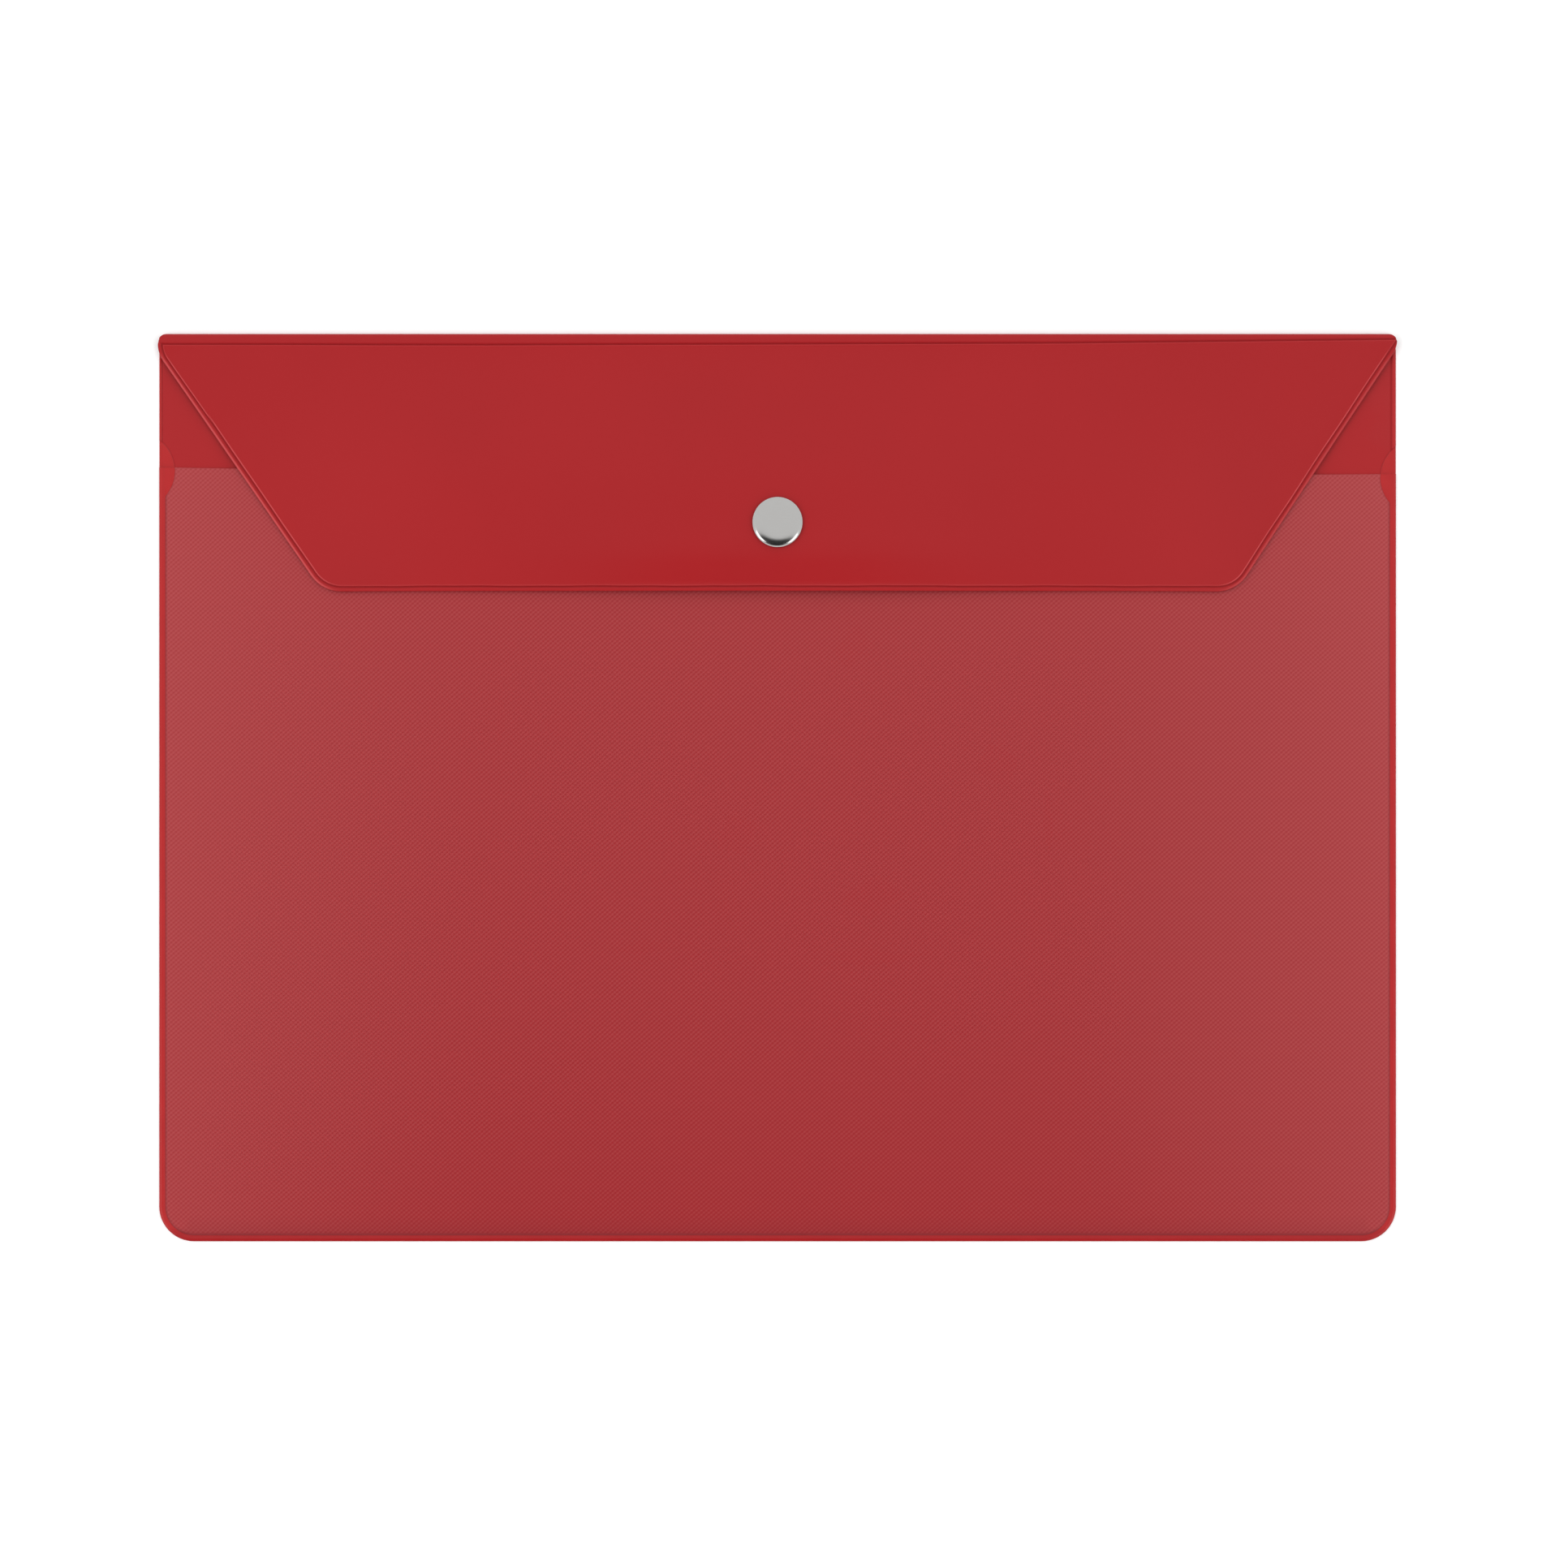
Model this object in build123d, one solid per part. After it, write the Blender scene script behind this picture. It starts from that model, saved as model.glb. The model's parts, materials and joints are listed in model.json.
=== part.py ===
from build123d import *

import math
import os

# Document wallet: a welded film pocket, closed by a folded flap with a press stud.
# Millimetres. X runs along the width, Y up towards the fold, Z out of the front.
# The wallet lies on its back, with the origin under the middle of its outline.

# Outline of the pocket
wallet_width = 320.0
wallet_height = 234.7  # from the bottom edge to the outside of the fold
bottom_corner_radius = 9.0

# Films
sheet_gauge = 0.35  # opaque film of the back panel and the flap
lining_gauge = 0.25  # second ply of the flap
front_gauge = 0.25  # translucent front sheet
film_fit = 0.02  # keeps the front sheet's smooth face clear of the flat back

# Room in the pocket, and over how wide a margin the front sheet comes down to its welds
pocket_room = 4.6
side_margin = 90.0
bottom_margin = 80.0

# Weld along the sides and the bottom
weld_width = 1.6
weld_gauge = 0.2  # what is left of the front sheet in the weld
press_depth = 0.08  # how far the weld tool sinks into the back panel above the mouth
pad_length = 13.2  # half-moon weld at each end of the mouth
pad_reach = 2.5  # how far that weld stands in from the side weld

# Flap
flap_length = 66.75  # from the outside of the fold to the lower edge
flap_overhang = 0.1  # past the pocket at each side
flap_side = 0.1  # straight part of the side, from the fold's axis
flap_lower_width = 235.5  # between the sharp lower corners
flap_shoulder_radius = 8.0
flap_corner_radius = 9.5
fold_radius = 1.15  # outside of the fold
fold_end_share = 0.9  # rounding of the fold's ends, as a share of its radius
flap_clearance = 0.35  # between the lining and the front sheet
flap_lift_reach = 45.0  # half-width over which the snap holds the flap up
bead_width = 0.5  # edge outside the flap's weld groove
groove_width = 0.9
groove_depth = 0.12

# Snap fastener
snap_inset = 17.5  # from the flap's lower edge to the snap's axis
snap_margin = 13.7  # from the snap's axis up to the pocket's mouth
stamping_gauge = 0.3  # metal that the stamped pieces are drawn from
seat_gap = 0.03  # between pieces that are pressed on to one another
cap_diameter = 13.0
cap_height = 1.5
cap_curl = 0.45  # how far the cap's edge is curled in
# Line of the cap from its middle to its edge, as shares of its radius and of its drop
cap_line_shares = [(0.62, 0), (0.84, 0.1), (0.96, 0.4), (1, 0.75), (1, 1)]
socket_inset = 1.0  # from the cap's edge in to the socket's
socket_curl = 0.9  # how far the socket's edge is curled in over its plate
stud_flange_diameter = 10.4
stud_fold_gap = 0.15  # between the stud's wall and the cup pressed down inside it
stud_head_step = 0.37  # from the neck out to the head
stud_head_side = 0.22  # height of the head's straight side
stud_head_bevel = 0.27
stud_cup_lift = 0.3  # from the front sheet to the floor of the stud's cup
stud_gap = 0.2  # between the stud's flange and the socket
stud_clearance = 0.15  # between the stud's head and the post's riveted end
spring_wire = 0.6
spring_grip_share = 0.2  # how far the wire grips in under the head, as a share of the wire
spring_opening = 50.0  # degrees left open in the ring
wire_sides = 8  # the fine wire is drawn with flats
post_diameter = 3.2
post_boss_diameter = 6.0
eyelet_diameter = 2.4
eyelet_wall = 0.35
eyelet_flange_diameter = 8.8
barrel_fit = 0.05  # round a barrel in its hole
rivet_spread = 0.5  # how far a riveted end stands out past its barrel
rivet_height = 0.3

# Lengthwise sections that the films are lofted through, as shares of the way from the
# snap out to the weld, the points in each below and above the snap, and spare length for
# cutting tools
film_section_shares = [0, 0.2, 0.4, 0.53, 0.66, 0.79, 0.9, 1]
film_points = 12
overrun = 2.0

# Places in plan that follow from the sizes
half_width = wallet_width / 2
half_height = wallet_height / 2
fold_line = half_height - fold_radius  # the fold's axis, where the flat films end
weld_half = half_width - weld_width
weld_low = -half_height + weld_width
flap_half = half_width + flap_overhang
flap_low = half_height - flap_length
snap_y = flap_low + snap_inset
mouth_y = snap_y + snap_margin
flat_run = fold_line - snap_y - cap_diameter / 2  # the films are level under the cap

# Radii and heights in the snap, from the front sheet up to the cap
half_gauge = stamping_gauge / 2
socket_radius = cap_diameter / 2 - socket_inset
eyelet_radius = eyelet_diameter / 2
post_radius = post_diameter / 2
cup_radius = eyelet_radius + rivet_spread + 2 * barrel_fit
neck_radius = cup_radius + 2 * stamping_gauge + stud_fold_gap
head_radius = neck_radius + stud_head_step
spring_radius = head_radius + spring_wire * (1 / 2 - spring_grip_share)
front_top = sheet_gauge + film_fit + pocket_room + front_gauge
stud_seat = front_top + seat_gap
socket_low = stud_seat + stamping_gauge + stud_gap
spring_middle = socket_low + stamping_gauge + seat_gap + spring_wire / 2
spring_top = spring_middle + spring_wire / 2
head_low = spring_top + half_gauge / 2
stud_top = head_low + stud_head_side + stud_head_bevel + half_gauge
rivet_low = stud_top + stud_clearance
plate_low = rivet_low + rivet_height + seat_gap
socket_top = plate_low + 2 * stamping_gauge
lining_low = socket_top + seat_gap
cap_seat = lining_low + lining_gauge + sheet_gauge + seat_gap
above_all = 2 * (cap_seat + cap_height)


def ramp(share):
    """Rises smoothly from 0 to 1 and stays there."""
    held = min(max(share, 0), 1)
    return held**3 * (10 - 15 * held + 6 * held**2)


def pocket_rise(x, y):
    """Height between the pocket's two films, 0 on the welds and at the fold."""
    across = ramp((weld_half - abs(x)) / side_margin)
    down = 1 - max(1 - (y - weld_low) / bottom_margin, 0) ** 3
    return pocket_room * across * down * ramp((fold_line - y) / flat_run)


def front_under(x, y):
    """Inner face of the front sheet."""
    return sheet_gauge + film_fit + pocket_rise(x, y)


def flap_under(x, y):
    """Lower face of the flap's outer ply: level at the fold, down on the front sheet at
    its sides and held up in the middle by the snap."""
    start = 2 * fold_radius - sheet_gauge
    settled = front_top - pocket_room + flap_clearance + lining_gauge
    lift = lining_low + lining_gauge - pocket_room - settled
    spread = 1 / (1 + (x / flap_lift_reach) ** 4)
    fall = settled + lift * spread - start
    return start + pocket_rise(x, y) + fall * ramp((fold_line - y) / flat_run)


def spaced(first, last):
    """Evenly spaced values from first to last."""
    return [first + (last - first) * i / film_points for i in range(film_points + 1)]


def film(height, low, high, low_y, high_y):
    """The space between two levels above a height formula, lofted from side to side."""
    level = cap_diameter / 2 + overrun
    ys = spaced(low_y, snap_y - cap_diameter / 2) + spaced(snap_y + cap_diameter / 2, high_y)
    xs = [level + share * (weld_half - level) for share in film_section_shares]
    xs.append(flap_half + overrun)
    sections = []
    for x in [-x for x in reversed(xs)] + xs:
        under = Spline(*[(x, y, height(x, y) + low) for y in ys])
        over = Spline(*[(x, y, height(x, y) + high) for y in ys])
        ends = [Line(under @ 0, over @ 0), Line(under @ 1, over @ 1)]
        sections.append(make_face([under, over, *ends]))
    return loft(sections, ruled=True)


def prism(sketch, low, high):
    """A flat outline drawn up from one height to another."""
    return extrude(Pos(0, 0, low) * sketch, amount=high - low)


def both_sides(sketch):
    """A sketch and its mirror image on the other side of the wallet."""
    return sketch + mirror(sketch, about=Plane.YZ)


def snap_hole(radius):
    """Cutter for a hole on the snap's axis, through everything."""
    return prism(Pos(0, snap_y) * Circle(radius), -overrun, above_all)


def spun(sketch):
    """A section drawn in radius and height, turned round the snap's axis."""
    return Pos(0, snap_y, 0) * revolve(Plane.XZ * sketch, axis=Axis.Z)


def stamped(points):
    """Sheet metal that follows a line of points in radius and height."""
    edge = trace(Polyline(*points), stamping_gauge).faces()[0].outer_wire()
    outward = Pos(cap_diameter / 2, cap_seat) * Rectangle(cap_diameter, 2 * cap_seat)
    return spun(make_face(edge.edges()) & outward)


def pocket_outline(inset, top):
    """Outline of the pocket, square at the top and rounded at the bottom corners."""
    wide = half_width - inset
    low = -half_height + inset
    sketch = Pos(0, (top + low) / 2) * Rectangle(2 * wide, top - low)
    corners = sketch.vertices().group_by(Axis.Y)[0]
    return fillet(corners, bottom_corner_radius - inset)


def mouth_pads():
    """The half-moon welds at both ends of the mouth, out to the pocket's edge."""
    bulge = (pad_length**2 / 4 + pad_reach**2) / (2 * pad_reach)
    moon = Pos(weld_half - pad_reach + bulge, mouth_y) * Circle(bulge)
    deep = weld_width + pad_reach
    strip = Pos(half_width - deep / 2, mouth_y) * Rectangle(deep, pad_length)
    return both_sides(moon & strip)


def flap_outline():
    """Outline of the flap from the fold's axis down."""
    lower = flap_lower_width / 2
    slant = math.atan2(flap_half - lower, fold_line - flap_low)
    side_low = fold_line - flap_side - flap_shoulder_radius * math.tan(slant / 2)
    points = [
        (-flap_half, fold_line),
        (-flap_half, side_low),
        (-lower, flap_low),
        (lower, flap_low),
        (flap_half, side_low),
        (flap_half, fold_line),
    ]
    sketch = make_face(Polyline(*points, close=True))
    sketch = fillet(sketch.vertices().group_by(Axis.Y)[1], flap_shoulder_radius)
    return fillet(sketch.vertices().group_by(Axis.Y)[0], flap_corner_radius)


def back_panel():
    """Flat back, with the weld tool's mark along the sides above the mouth."""
    panel = prism(pocket_outline(0, fold_line), 0, sheet_gauge)
    above = Pos(0, (mouth_y + fold_line) / 2) * Rectangle(wallet_width, fold_line - mouth_y)
    between = pocket_outline(weld_width, fold_line)
    marks = (above - between) + (mouth_pads() & above)
    return panel - prism(marks, sheet_gauge - press_depth, sheet_gauge + overrun)


def front_sheet():
    """Bulging front, its welded rim and the half-moon welds below the mouth."""
    low_y = weld_low - overrun
    high_y = mouth_y + overrun
    inside = pocket_outline(weld_width, mouth_y)
    bulge = film(front_under, 0, front_gauge, low_y, high_y)
    bulge = bulge & prism(inside, 0, above_all)
    rim = pocket_outline(0, mouth_y) - inside
    below = Pos(0, mouth_y - pad_length / 2) * Rectangle(wallet_width, pad_length)
    pads = prism(mouth_pads() & below & inside, sheet_gauge, above_all)
    pads = pads & film(front_under, -front_top, front_gauge, low_y, high_y)
    sheet = bulge + pads + prism(rim, sheet_gauge, sheet_gauge + weld_gauge)
    return sheet - snap_hole(eyelet_radius + barrel_fit)


def flap_fold():
    """Half tube of film over the top edge, with rounded ends."""
    ring = Circle(fold_radius) - Circle(fold_radius - sheet_gauge)
    half = Pos(fold_radius / 2, 0) * Rectangle(fold_radius, 2 * fold_radius)
    across = Plane((0, fold_line, fold_radius), x_dir=(0, 1, 0), z_dir=(1, 0, 0))
    tube = extrude(across * (ring & half), amount=flap_half, both=True)
    plan = Pos(0, fold_line) * Rectangle(2 * flap_half, 2 * fold_radius)
    plan = fillet(plan.vertices(), fold_radius * fold_end_share)
    return tube & prism(plan, -overrun, above_all)


def flap_film(low, high):
    """The space between two levels above the flap's face, a little larger than the flap."""
    return film(flap_under, low, high, flap_low - overrun, fold_line + overrun)


def flap_ply(sketch, low, high):
    """Film of the flap under an outline, between two levels above the flap's face."""
    return flap_film(low, high) & prism(sketch, 0, above_all)


def flap_sheet():
    """Outer ply, thinner in the weld groove that is pressed in round its edge."""
    outline = flap_outline()
    ring = offset(outline, -bead_width) - offset(outline, -bead_width - groove_width)
    groove = flap_ply(ring, 0, sheet_gauge - groove_depth)
    sheet = flap_ply(outline - ring, 0, sheet_gauge) + groove
    return sheet - snap_hole(post_radius + barrel_fit)


def flap_lining():
    """Inner ply of the flap."""
    ply = flap_ply(flap_outline(), -lining_gauge, 0)
    return ply - snap_hole(post_radius + barrel_fit)


def cap_shell():
    """Stamped cap with a low crown and an edge that is curled in under it."""
    side = cap_diameter / 2 - half_gauge
    top = cap_seat + cap_height - half_gauge
    low = cap_seat + half_gauge
    drop = top - low - cap_curl
    crown = [(side * out, top - drop * down) for out, down in cap_line_shares]
    curl = [(side - cap_curl, low), (side - 2 * cap_curl, low)]
    return stamped([(-overrun, top), (0, top), *crown, *curl])


def cap_post():
    """Disc held in the cap, and a barrel through the flap that is riveted in the socket."""
    disc_low = cap_seat + stamping_gauge + seat_gap
    disc_top = disc_low + stamping_gauge
    disc_radius = cap_diameter / 2 - stamping_gauge - cap_curl
    boss_radius = post_boss_diameter / 2
    rivet_top = rivet_low + rivet_height
    points = [
        (0, disc_top),
        (disc_radius, disc_top),
        (disc_radius, disc_low),
        (boss_radius, disc_low),
        (boss_radius, cap_seat),
        (post_radius, cap_seat),
        (post_radius, rivet_top),
        (post_radius + rivet_spread, rivet_top),
        (post_radius, rivet_low),
        (0, rivet_low),
    ]
    return spun(make_face(Polyline(*points, close=True)))


def socket_shell():
    """Stamped cup: the stud's opening in its face, its edge curled over the plate."""
    side = socket_radius - half_gauge
    points = [
        (spring_radius + barrel_fit, socket_low + half_gauge),
        (side, socket_low + half_gauge),
        (side, socket_top - half_gauge),
        (side - socket_curl, socket_top - half_gauge),
    ]
    return stamped(points)


def socket_plate():
    """Plate that closes the socket and takes the post's riveted end."""
    radius = socket_radius - stamping_gauge - seat_gap
    plate = prism(Pos(0, snap_y) * Circle(radius), plate_low, plate_low + stamping_gauge)
    return plate - snap_hole(post_radius + barrel_fit)


def socket_spring():
    """Open ring of wire that lies in the socket and grips under the stud's head."""
    wire = Pos(spring_radius, spring_middle) * RegularPolygon(spring_wire / 2, wire_sides)
    turned = revolve(Plane.XZ * wire, axis=Axis.Z, revolution_arc=360 - spring_opening)
    return Pos(0, snap_y, 0) * Rot(0, 0, -90 + spring_opening / 2) * turned


def snap_stud():
    """Stamped stud: a flange on the front sheet, a necked wall and a cup inside it."""
    flange = stud_seat + half_gauge
    crown = stud_top - half_gauge
    floor = stud_seat + stud_cup_lift + half_gauge
    neck = neck_radius - half_gauge
    head = head_radius - half_gauge
    cup = cup_radius + half_gauge
    points = [
        (stud_flange_diameter / 2, flange),
        (neck, flange),
        (neck, head_low - stud_head_step),
        (head, head_low),
        (head, head_low + stud_head_side),
        (neck, crown),
        (cup, crown),
        (cup, floor),
        (eyelet_radius + barrel_fit, floor),
    ]
    return stamped(points)


def stud_eyelet():
    """Hollow rivet from inside the pocket, its end rolled out in the stud's cup."""
    flange_top = front_top - front_gauge - seat_gap
    flange_low = flange_top - stamping_gauge
    flange_radius = eyelet_flange_diameter / 2
    roll_low = stud_seat + stud_cup_lift + stamping_gauge + seat_gap
    roll_top = roll_low + rivet_height
    inner = eyelet_radius - eyelet_wall
    points = [
        (inner, flange_low),
        (flange_radius, flange_low),
        (flange_radius, flange_top),
        (eyelet_radius, flange_top),
        (eyelet_radius, roll_low),
        (eyelet_radius + rivet_spread, roll_low),
        (eyelet_radius, roll_top),
        (inner, roll_top),
    ]
    return spun(make_face(Polyline(*points, close=True)))


pieces = [
    back_panel,
    front_sheet,
    flap_fold,
    flap_sheet,
    flap_lining,
    cap_shell,
    cap_post,
    socket_shell,
    socket_plate,
    socket_spring,
    snap_stud,
    stud_eyelet,
]

os.makedirs("parts", exist_ok=True)
for piece in pieces:
    export_step(piece(), f"parts/{piece.__name__}.step")
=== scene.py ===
import json
import math

import bmesh
import bpy
import numpy as np
from bpy.props import FloatProperty, FloatVectorProperty, PointerProperty
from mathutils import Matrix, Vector
from mathutils.geometry import delaunay_2d_cdt


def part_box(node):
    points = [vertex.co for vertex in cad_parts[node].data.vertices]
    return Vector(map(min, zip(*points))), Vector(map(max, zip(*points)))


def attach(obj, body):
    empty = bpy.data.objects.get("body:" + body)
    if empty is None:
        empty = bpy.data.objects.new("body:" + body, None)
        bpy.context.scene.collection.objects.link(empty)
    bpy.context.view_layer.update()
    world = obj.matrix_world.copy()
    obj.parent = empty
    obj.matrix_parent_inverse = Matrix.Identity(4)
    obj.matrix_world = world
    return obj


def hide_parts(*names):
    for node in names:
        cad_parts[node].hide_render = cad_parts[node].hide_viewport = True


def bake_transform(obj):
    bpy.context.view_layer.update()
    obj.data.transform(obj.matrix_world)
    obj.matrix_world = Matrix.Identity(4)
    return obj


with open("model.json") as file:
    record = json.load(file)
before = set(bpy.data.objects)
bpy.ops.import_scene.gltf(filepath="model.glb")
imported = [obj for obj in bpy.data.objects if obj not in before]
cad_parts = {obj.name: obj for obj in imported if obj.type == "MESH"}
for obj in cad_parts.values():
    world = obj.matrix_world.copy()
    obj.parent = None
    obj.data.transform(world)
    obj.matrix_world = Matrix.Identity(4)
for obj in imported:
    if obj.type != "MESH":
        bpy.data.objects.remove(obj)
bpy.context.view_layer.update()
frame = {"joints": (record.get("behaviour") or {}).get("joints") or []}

bl_info = {
    "name": "Document wallet",
    "version": (1, 0, 0),
    "blender": (4, 5, 0),
    "location": "3D View > Sidebar > Wallet",
    "description": "Dresses a document wallet of welded vinyl film with a press stud",
    "category": "Object",
}

# Sizes are in metres: X along the width, Y up to the fold, Z out of the front.
# These are read from the CAD model.
HALF_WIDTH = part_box("back_panel")[1].x
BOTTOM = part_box("back_panel")[0].y
FOLD_Y, FOLD_RADIUS = frame["joints"][0]["pos_m"][1:]
FLAP_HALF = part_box("flap_sheet")[1].x
FLAP_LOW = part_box("flap_sheet")[0].y
CAP_LOW, CAP_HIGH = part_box("cap_shell")
SNAP_Y = (CAP_LOW.y + CAP_HIGH.y) / 2
CAP_RADIUS = (CAP_HIGH.x - CAP_LOW.x) / 2
SOCKET_LOW, SOCKET_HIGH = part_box("socket_shell")
SPRING_LOW, SPRING_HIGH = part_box("socket_spring")
STUD_LOW, STUD_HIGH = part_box("snap_stud")
EYELET_LOW, EYELET_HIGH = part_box("stud_eyelet")
POST_LOW, POST_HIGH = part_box("cap_post")
PLATE_LOW, PLATE_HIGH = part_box("socket_plate")

# These repeat the CAD model's own values.
CORNER_RADIUS = 0.009
POCKET_ROOM = 0.0046
SIDE_MARGIN = 0.09
BOTTOM_MARGIN = 0.08
FILM_FIT = 0.00002
WELD_WIDTH = 0.0016
FLAP_LOWER_HALF = 0.11775
FLAP_SIDE = 0.0001
SHOULDER_RADIUS = 0.008
FLAP_CORNER_RADIUS = 0.0095
FLAP_CLEARANCE = 0.00035
FLAP_LIFT_REACH = 0.045
PAD_LENGTH = 0.0132
PAD_REACH = 0.0025
STAMPING_GAUGE = 0.0003
SEAT_GAP = 0.00003
POST_RADIUS = 0.0016
BOSS_RADIUS = 0.003
EYELET_RADIUS = 0.0012
EYELET_WALL = 0.00035
RIVET_SPREAD = 0.0005
RIVET_HEIGHT = 0.0003
SPRING_WIRE = 0.0006
SPRING_RADIUS = 0.0031
SPRING_OPENING = math.radians(50)
NECK_RADIUS = 0.00255
HEAD_RADIUS = 0.00292
CUP_RADIUS = 0.0018

# These are read from the photo and are too fine for the CAD model.
FLAP_SKEW = (0.0002, 0.0006)  # the flap's lower corners lie this far to the right
LEFT_SHOULDER_DROP = 0.0016  # the flap's left shoulder is this much lower
FLAP_DROOP = 0.55  # share of the snap's lift that is gone at the flap's lower edge
FLAP_HANG = 0.00035  # how far the flap's slanted edges hang above the mouth
FOLD_END_RADIUS = 0.0025
MOUTH_Y = 0.0814
MOUTH_SLOPE = 0.0055  # drop of the mouth for each metre to the right
MOUTH_RISE = 0.0006  # the mouth is this much higher at its ends
MOUTH_END = 0.157
PAD_DROP = 0.0008  # the half-moon welds' centres lie this far below the mouth

# Marks of the weld tools: half widths, and places inwards from the weld's outer line.
MARK_WIDTH = 0.00022
BACK_GROOVE_PLACES = (0.00075, 0.00125)  # above the mouth, left and right
BACK_BEAD = 0.00012
BACK_MARK = 0.00008
RIM_HEIGHT = 0.0002
PAD_RISE = 0.00004
RIM_GROOVE = 0.00006
WELD_TOP = (0.0009, -0.0001, -0.0006, -0.0005)  # of the flap, above the fold, from the right
WELD_BEND = 0.075  # the top of the flap's weld bends this far from the middle
TRACK_STEP_Y = 0.0952  # the flap's weld steps in above this
TRACK_WANDER = (0.00007, 0.00005)
FLAP_BEAD = 0.00005
FLAP_BEAD_PLACE = 0.0006
TROUGH_PLACE = 0.00122
TROUGH_WIDTHS = (0.0005, 0.0002)  # towards the edge and away from it
BROW_PLACE = 0.00154
BROW_WIDTH = 0.0002
BROW_HEIGHT = 0.00006
BACK_EDGE_RADIUS = 0.00012
FRONT_EDGE_RADIUS = 0.00014
FLAP_EDGE_RADIUS = 0.00016
LINING_EDGE_RADIUS = 0.00012
PLY_GAP = 0.000002  # keeps welded films from sharing a face

# Sizes inside the snap
CURL = 0.0009  # how far a stamped edge is curled in
PLAY = 0.00005  # between a barrel and its hole
CAP_LEVEL = 0.5  # share of the cap's radius that is level
CROWN_END = 0.00005  # from the crown's last point to the straight side
RIVET_SOFTNESS = 0.00008
PLATE_SOFTNESS = 0.00006
NECK_TAPER = 0.00037
HEAD_BAND = 0.00022
CUP_FLOOR = 0.0003

# Rows of points beside the films' edges, closest where the form turns
BACK_ROWS = (0.00005, 0.00012, 0.0003, 0.0005, 0.0007, 0.00085, 0.001, 0.0012, 0.0016)
BACK_PAD_ROWS = (-0.0003, -0.00012, 0, 0.00015, 0.0003)
FRONT_SHARES = (0.04, 0.09, 0.2, 0.35, 0.5, 0.65, 0.8, 0.9, 1, 1.1, 1.22, 1.4, 1.8)
FRONT_PAD_ROWS = (-0.0004, -0.0002, 0, 0.0002)
FLAP_EDGE_ROWS = (0.00005, 0.00012, 0.00025)
FLAP_WELD_ROWS = (0.0004, 0.0006, *(0.0007 + 0.0001 * i for i in range(15)), 0.0026)
CROSSING = 0.001  # rows run this far past a film's end, so that they cross it
PAD_DRAWN = 0.62  # half of a half-moon's drawn line, as a share of its length
LATTICE_ROOM = 0.45  # share of a step that is kept free beside a row
MERGE = 1e-8  # points closer than this are one
LINE_STEP = 0.003
SECTION_STEP = 0.001
BACK_STEP = 0.006
FILM_STEP = 0.004
ARC_STEP = math.radians(6)
AXIS_SIDES = 96  # flats round a turned piece, too many to see
ON_AXIS = 1e-7
FILM_CREASE = math.radians(50)
METAL_CREASE = math.radians(40)

# Colours that aren't settings
# Groove colours: the pressed film's deeper tone with painted shade of the groove over it
PRESSED_AND_SHADED_SHEET = "#8A0008"
# Paler film: painted highlights on the flap's brows and cut edges, and the back's lighter tone
PALER_AND_HIGHLIT_SHEET = "#C84C4E"
PRESSED_AND_SHADED_FRONT = "#8A141C"
PRESSED_AND_SHADED_WELD = "#8A0A14"
# Painted sheen: whitish light added over the front film, on its emboss lines, at its sides and
# towards the top
HAZE_AND_SHEEN = "#734F4F"  # light that the emboss adds
VINYL_IOR = 1.53

# Broad fills at the left, the right and the back, which the metal doesn't mirror, and two
# small lamps at the front that glint on the cap's edge: place, share of the power, size,
# and whether it is mirrored
LAMPS = {
    "lamp_left": ((-0.9, 0.1, 1.2), 0.41, 0.9, False),
    "lamp_right": ((0.9, 0, 1.2), 0.29, 0.9, False),
    "lamp_back": ((0, 0.9, 1.2), 0.34, 2.0, False),
    "lamp_front_left": ((-0.72, -0.45, 1.0), 0.2, 0.5, True),
    "lamp_front_right": ((0.66, -0.53, 1.0), 0.18, 0.5, True),
}
FLOOR_REACH = 6
FLOOR_Z = -0.00002
MIRRORED_SKY = 0.8
PATCH_LEAN = math.radians(27)
PATCH_SQUEEZE = 0.72
PATCH_X = -0.06
SENSOR = 36
VIEW_CENTRE = (0.00166, 0.00098)


def linear(code):
    """Linear red, green and blue of an sRGB hex colour."""
    shares = [int(code[i : i + 2], 16) / 255 for i in (1, 3, 5)]
    return tuple(c / 12.92 if c <= 0.04045 else ((c + 0.055) / 1.055) ** 2.4 for c in shares)


def number(name, description, default, **limits):
    """A setting for a number."""
    return FloatProperty(name=name, description=description, default=default, **limits)


def length(name, description, default):
    """A setting in metres."""
    return number(name, description, default, unit="LENGTH", precision=5)


def tint(name, description, code):
    """A setting for a colour."""
    limits = {"size": 3, "min": 0, "max": 1, "subtype": "COLOR"}
    return FloatVectorProperty(
        name=name, description=description, default=linear(code), **limits
    )


class WalletFilms(bpy.types.PropertyGroup):
    sheet_gauge: length(
        "Sheet gauge", "Thickness of the opaque film of the back and the flap", 0.00035
    )
    lining_gauge: length("Lining gauge", "Thickness of the flap's inner ply", 0.00025)
    front_gauge: length("Front gauge", "Thickness of the translucent front sheet", 0.00025)
    weld_width: length("Weld width", "Width of the welded rim of the pocket", WELD_WIDTH)
    bead_height: length(
        "Bead height", "How far the rim's molten bead stands above the weld", 0.00016
    )
    groove_depth: length("Groove depth", "Depth of the weld groove round the flap", 0.00015)
    wave_height: length(
        "Wave height", "How far the slack films wander from their smooth form", 0.00008
    )
    emboss_pitch: length(
        "Emboss pitch", "Distance between the fine diagonal lines of the front sheet", 0.00085
    )
    emboss_height: length("Emboss height", "Height of the front sheet's diagonal lines", 0.00001)
    front_opacity: number(
        "Front opacity",
        "How much of the back the front sheet hides",
        0.85,
        min=0,
        max=1,
        subtype="FACTOR",
    )
    sheet_colour: tint("Sheet colour", "Colour of the opaque film", "#A5171C")
    front_colour: tint("Front colour", "Colour of the translucent front sheet", "#A10111")
    weld_colour: tint("Weld colour", "Colour of the film where it was melted", "#B12022")


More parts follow.
